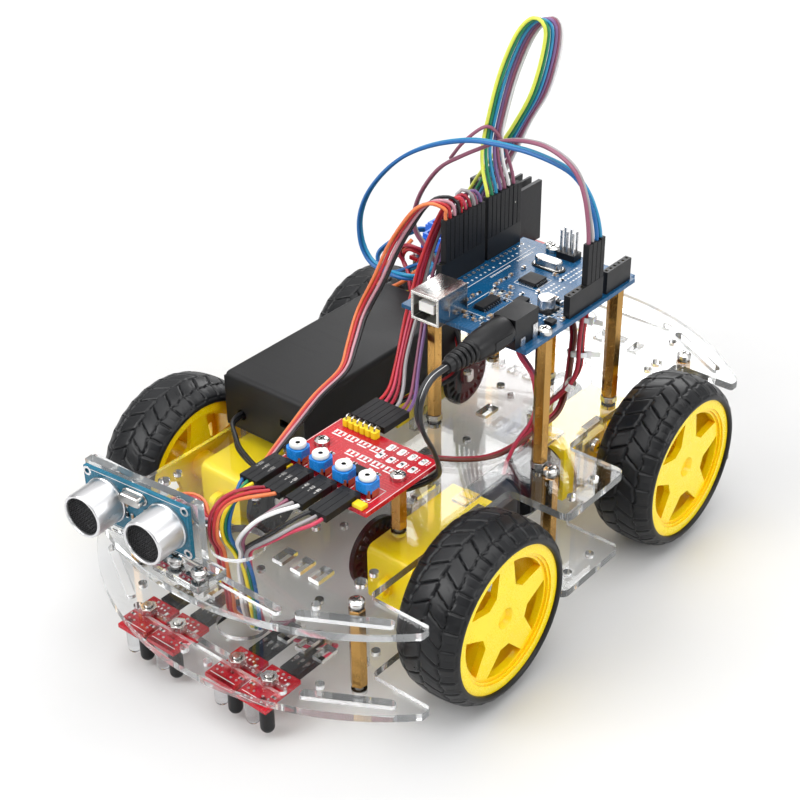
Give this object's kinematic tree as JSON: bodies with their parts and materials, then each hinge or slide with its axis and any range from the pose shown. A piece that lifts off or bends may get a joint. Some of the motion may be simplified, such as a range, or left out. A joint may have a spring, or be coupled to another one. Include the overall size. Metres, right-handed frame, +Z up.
{
  "type": "four wheel robot chassis",
  "caption": "Clear two deck robot car with geared wheels, controller, motor driver, battery pack, sensor hub, ultrasonic distance sensor and line sensors.",
  "frame": {"origin": "centre of the underside of the lower deck, midway between the four lug holes", "axes": "+X forward along the length of the car, +Y to its left, +Z up through the decks"},
  "size_m": [0.2641, 0.166, 0.1952],
  "materials": {
    "clear_acrylic": "polished, cut edges",
    "brass": "turned",
    "nickel_steel": "nickel plated",
    "tyre_rubber": "satin moulded",
    "yellow_plastic": "moulded",
    "white_plastic": "moulded",
    "black_plastic": "moulded",
    "clear_strap": "moulded",
    "motor_steel": "plated",
    "blue_board": "glass fibre board with solder mask",
    "red_board": "glass fibre board with solder mask",
    "teal_board": "glass fibre board with solder mask",
    "socket_steel": "tin plated",
    "aluminium_can": "spun",
    "chip_epoxy": "moulded epoxy",
    "black_heatsink": "black anodised",
    "blue_plastic": "moulded",
    "yellow_header": "moulded",
    "red_button": "moulded",
    "cell_wrap": "shrink sleeve",
    "cable_black": "extruded",
    "wire_colours": "extruded",
    "clear_lens": "moulded epoxy"
  },
  "bodies": {
    "chassis": {"upper_deck": "clear_acrylic", "lower_deck": "clear_acrylic", "hex_standoffs": "brass", "machine_screws": "nickel_steel", "hex_nuts": "nickel_steel", "motor_brackets": "clear_acrylic", "gearbox_shells": "yellow_plastic", "motor_cans": "motor_steel", "motor_end_caps": "black_plastic", "motor_straps": "clear_strap", "controller_board": "blue_board", "usb_socket": "socket_steel", "power_jack": "black_plastic", "header_sockets": "black_plastic", "pin_headers": "black_plastic", "board_chips": "chip_epoxy", "crystals_and_capacitors": "aluminium_can", "reset_switch_body": "socket_steel", "driver_board": "red_board", "heat_sink": "black_heatsink", "screw_terminals": "blue_plastic", "hub_board": "red_board", "hub_header": "yellow_header", "trimmer_bodies": "blue_plastic", "battery_case": "black_plastic", "battery_lid": "black_plastic", "battery_cells": "cell_wrap", "battery_lead": "cable_black", "distance_board": "teal_board", "distance_cans": "aluminium_can", "distance_bracket": "clear_acrylic", "line_boards": "red_board", "line_detectors": "black_plastic", "line_emitters": "clear_lens", "crimp_housings": "black_plastic", "jumper_wires": "wire_colours", "sensor_ribbon": "wire_colours", "hub_leads": "wire_colours", "motor_leads": "wire_colours"},
    "wheel_fl": {"tyre_fl": "tyre_rubber", "rim_fl": "yellow_plastic", "axle_fl": "white_plastic", "encoder_disc_fl": "black_plastic"},
    "wheel_fr": {"tyre_fr": "tyre_rubber", "rim_fr": "yellow_plastic", "axle_fr": "white_plastic", "encoder_disc_fr": "black_plastic"},
    "wheel_rl": {"tyre_rl": "tyre_rubber", "rim_rl": "yellow_plastic", "axle_rl": "white_plastic", "encoder_disc_rl": "black_plastic"},
    "wheel_rr": {"tyre_rr": "tyre_rubber", "rim_rr": "yellow_plastic", "axle_rr": "white_plastic", "encoder_disc_rr": "black_plastic"},
    "knob_1": {"trimmer_knob_1": "white_plastic"},
    "knob_2": {"trimmer_knob_2": "white_plastic"},
    "knob_3": {"trimmer_knob_3": "white_plastic"},
    "knob_4": {"trimmer_knob_4": "white_plastic"},
    "reset_button": {"reset_button": "red_button"}
  },
  "joints": [
    {"name": "wheel_fl_spin", "type": "hinge", "parent": "chassis", "child": "wheel_fl", "pos_m": [0.0565, 0.07, 0.018], "axis": [0, 1, 0], "continuous": true},
    {"name": "wheel_fr_spin", "type": "hinge", "parent": "chassis", "child": "wheel_fr", "pos_m": [0.0565, -0.07, 0.018], "axis": [0, 1, 0], "continuous": true},
    {"name": "wheel_rl_spin", "type": "hinge", "parent": "chassis", "child": "wheel_rl", "pos_m": [-0.0565, 0.07, 0.018], "axis": [0, 1, 0], "continuous": true},
    {"name": "wheel_rr_spin", "type": "hinge", "parent": "chassis", "child": "wheel_rr", "pos_m": [-0.0565, -0.07, 0.018], "axis": [0, 1, 0], "continuous": true},
    {"name": "trimmer_1_turn", "type": "hinge", "parent": "chassis", "child": "knob_1", "pos_m": [0.0705, 0.0031, 0.0606], "axis": [0, 0, 1], "range_deg": [-105, 105]},
    {"name": "trimmer_2_turn", "type": "hinge", "parent": "chassis", "child": "knob_2", "pos_m": [0.0705, 0.01326, 0.0606], "axis": [0, 0, 1], "range_deg": [-105, 105]},
    {"name": "trimmer_3_turn", "type": "hinge", "parent": "chassis", "child": "knob_3", "pos_m": [0.0705, 0.02342, 0.0606], "axis": [0, 0, 1], "range_deg": [-105, 105]},
    {"name": "trimmer_4_turn", "type": "hinge", "parent": "chassis", "child": "knob_4", "pos_m": [0.0705, 0.03358, 0.0606], "axis": [0, 0, 1], "range_deg": [-105, 105]},
    {"name": "reset_press", "type": "slide", "parent": "chassis", "child": "reset_button", "axis": [0, 0, -1], "range_m": [0, 0.00025]}
  ]
}
